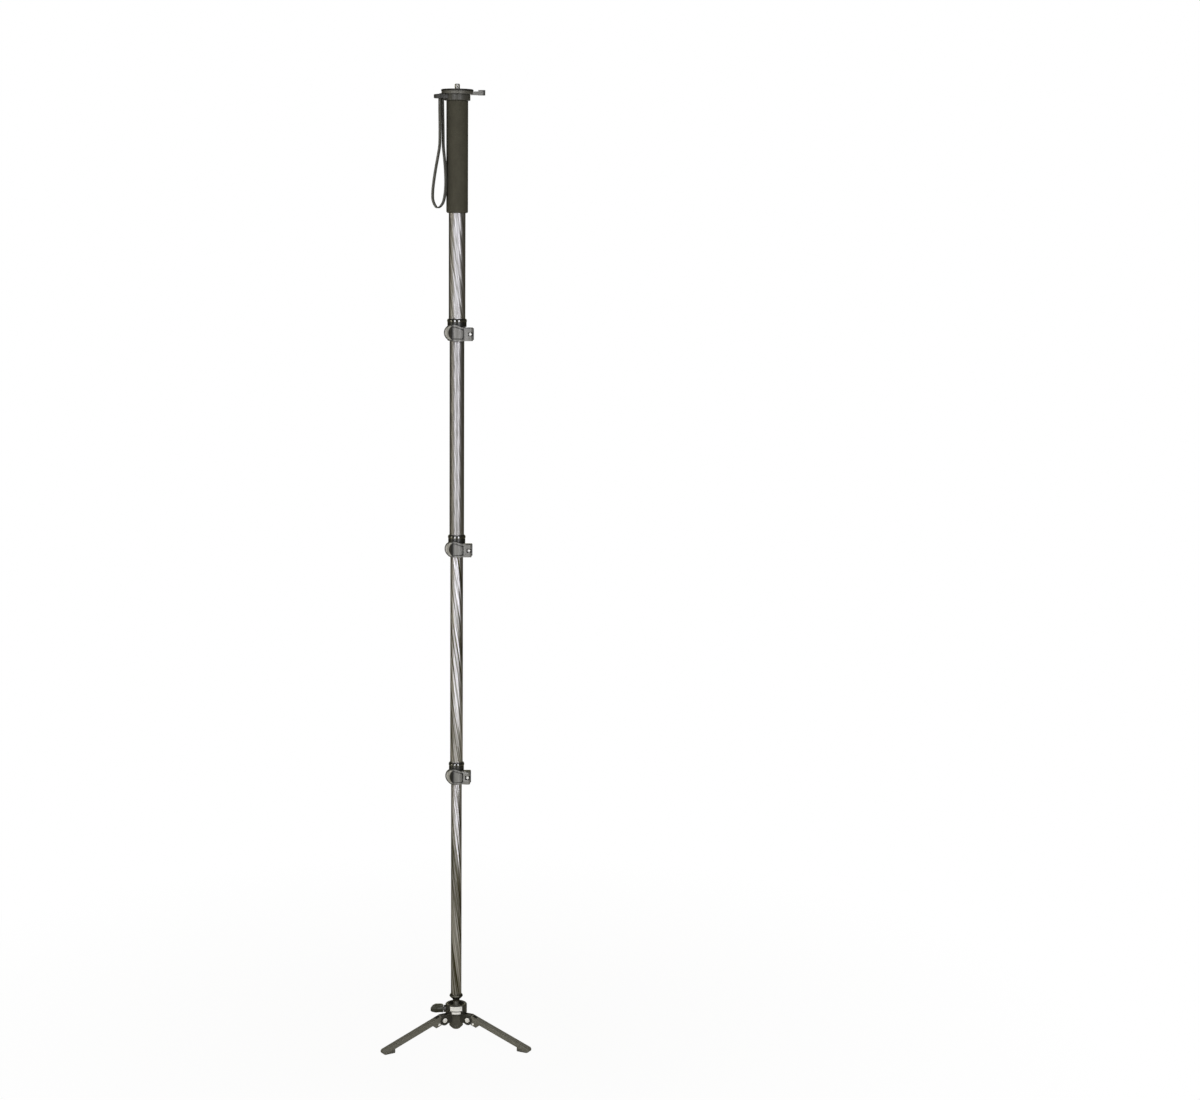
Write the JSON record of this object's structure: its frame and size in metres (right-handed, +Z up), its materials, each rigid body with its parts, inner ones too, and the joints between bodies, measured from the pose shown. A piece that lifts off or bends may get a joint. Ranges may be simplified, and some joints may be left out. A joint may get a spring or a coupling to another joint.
{
  "type": "camera monopod",
  "caption": "Tall telescoping carbon-fibre camera monopod with flip-lock levers, foam grip, wrist strap and threaded head platform, standing on a ball-jointed base with folding legs.",
  "frame": {"origin": "on the floor under the middle of the whole object: the tube axis stands 35.8 mm in front of it", "axes": "+Z up along the tubes, front towards -Y, ball-lock knob towards -X, lock knuckles towards +X"},
  "size_m": [0.2702, 0.234, 1.7095],
  "materials": {
    "carbon": "lacquered carbon fibre",
    "black_shell": "glossy moulded shell",
    "satin_grey": "satin painted casting",
    "black_metal": "black anodised",
    "dark_metal": "dark painted casting",
    "dark_steel": "blackened steel",
    "polished_steel": "polished",
    "nylon": "moulded",
    "foam": "closed-cell foam",
    "black_rubber": "matte",
    "webbing": "woven",
    "olive_shell": "moulded"
  },
  "bodies": {
    "base": {"base_hub": "dark_metal", "hub_top_ring": "black_metal", "hub_end_cap": "dark_metal", "seat_spring": "polished_steel", "leg_hinge_pins": "polished_steel"},
    "swivel": {"ball_seat": "nylon"},
    "section_4": {"ball_stem": "dark_steel", "tube_foot": "black_metal", "tube_4": "carbon", "guide_bush_4": "nylon"},
    "section_3": {"tube_3": "carbon", "guide_bush_3": "nylon", "lock_collar_3": "black_shell", "clamp_liner_3": "nylon", "clamp_bolt_3": "polished_steel", "clamp_nut_3": "polished_steel", "lever_pin_3": "polished_steel"},
    "section_2": {"tube_2": "carbon", "guide_bush_2": "nylon", "lock_collar_2": "black_shell", "clamp_liner_2": "nylon", "clamp_bolt_2": "polished_steel", "clamp_nut_2": "polished_steel", "lever_pin_2": "polished_steel"},
    "section_1": {"tube_1": "carbon", "grip_sleeve": "foam", "top_collar": "black_shell", "top_plug": "dark_metal", "head_platform": "black_metal", "head_pad": "black_rubber", "head_stud": "polished_steel", "lock_collar_1": "black_shell", "clamp_liner_1": "nylon", "clamp_bolt_1": "polished_steel", "clamp_nut_1": "polished_steel", "lever_pin_1": "polished_steel"},
    "lever_1": {"lock_lever_1": "satin_grey"},
    "lever_2": {"lock_lever_2": "satin_grey"},
    "lever_3": {"lock_lever_3": "satin_grey"},
    "head_lever": {"head_lever_ring": "satin_grey"},
    "strap": {"wrist_strap": "webbing"},
    "brake": {"brake_pad": "nylon"},
    "knob": {"lock_knob": "olive_shell", "knob_screw": "polished_steel"},
    "leg_left": {"leg_left": "dark_metal", "stop_pin_left": "polished_steel", "foot_pad_left": "black_rubber"},
    "leg_right": {"leg_right": "dark_metal", "stop_pin_right": "polished_steel", "foot_pad_right": "black_rubber"},
    "leg_rear": {"leg_rear": "dark_metal", "stop_pin_rear": "polished_steel", "foot_pad_rear": "black_rubber"}
  },
  "joints": [
    {"name": "base_swivel", "type": "hinge", "parent": "base", "child": "swivel", "pos_m": [0, -0.03583, 0.057], "axis": [0, 0, 1], "continuous": true},
    {"name": "column_tilt", "type": "hinge", "parent": "swivel", "child": "section_4", "pos_m": [0, -0.03583, 0.057], "axis": [1, 0, 0], "range_deg": [-20, 20]},
    {"name": "slide_3", "type": "slide", "parent": "section_4", "child": "section_3", "axis": [0, 0, -1], "range_m": [0, 0.388]},
    {"name": "slide_2", "type": "slide", "parent": "section_3", "child": "section_2", "axis": [0, 0, -1], "range_m": [0, 0.369]},
    {"name": "slide_1", "type": "slide", "parent": "section_2", "child": "section_1", "axis": [0, 0, -1], "range_m": [0, 0.338]},
    {"name": "lever_1_flip", "type": "hinge", "parent": "section_1", "child": "lever_1", "pos_m": [0.02285, -0.04643, 1.2817], "axis": [0, 0, 1], "range_deg": [0, 115]},
    {"name": "lever_2_flip", "type": "hinge", "parent": "section_2", "child": "lever_2", "pos_m": [0.0212, -0.04643, 0.9017], "axis": [0, 0, 1], "range_deg": [0, 115]},
    {"name": "lever_3_flip", "type": "hinge", "parent": "section_3", "child": "lever_3", "pos_m": [0.01955, -0.04643, 0.4907], "axis": [0, 0, 1], "range_deg": [0, 115]},
    {"name": "head_lever_turn", "type": "hinge", "parent": "section_1", "child": "head_lever", "pos_m": [0, -0.03583, 1.6945], "axis": [0, 0, 1], "range_deg": [0, 60]},
    {"name": "strap_swing", "type": "hinge", "parent": "section_1", "child": "strap", "pos_m": [-0.02755, -0.04867, 1.6893], "axis": [-0.4226, 0.9063, 0], "range_deg": [0, 40]},
    {"name": "leg_left_fold", "type": "hinge", "parent": "base", "child": "leg_left", "pos_m": [-0.02295, -0.04908, 0.0405], "axis": [0.5, -0.866, 0], "range_deg": [0, 70]},
    {"name": "leg_right_fold", "type": "hinge", "parent": "base", "child": "leg_right", "pos_m": [0.02295, -0.04908, 0.0405], "axis": [0.5, 0.866, 0], "range_deg": [0, 70]},
    {"name": "leg_rear_fold", "type": "hinge", "parent": "base", "child": "leg_rear", "pos_m": [0, -0.00933, 0.0405], "axis": [-1, 0, 0], "range_deg": [0, 70]},
    {"name": "brake_slide", "type": "slide", "parent": "base", "child": "brake", "axis": [-1, 0, 0], "range_m": [0, 0.001]},
    {"name": "knob_turn", "type": "hinge", "parent": "brake", "child": "knob", "pos_m": [0, -0.03583, 0.057], "axis": [-1, 0, 0], "range_deg": [0, 360]}
  ],
  "couplings": [
    {"joint": "knob_turn", "follows": "brake_slide", "rad_per_m": 6283.2}
  ]
}
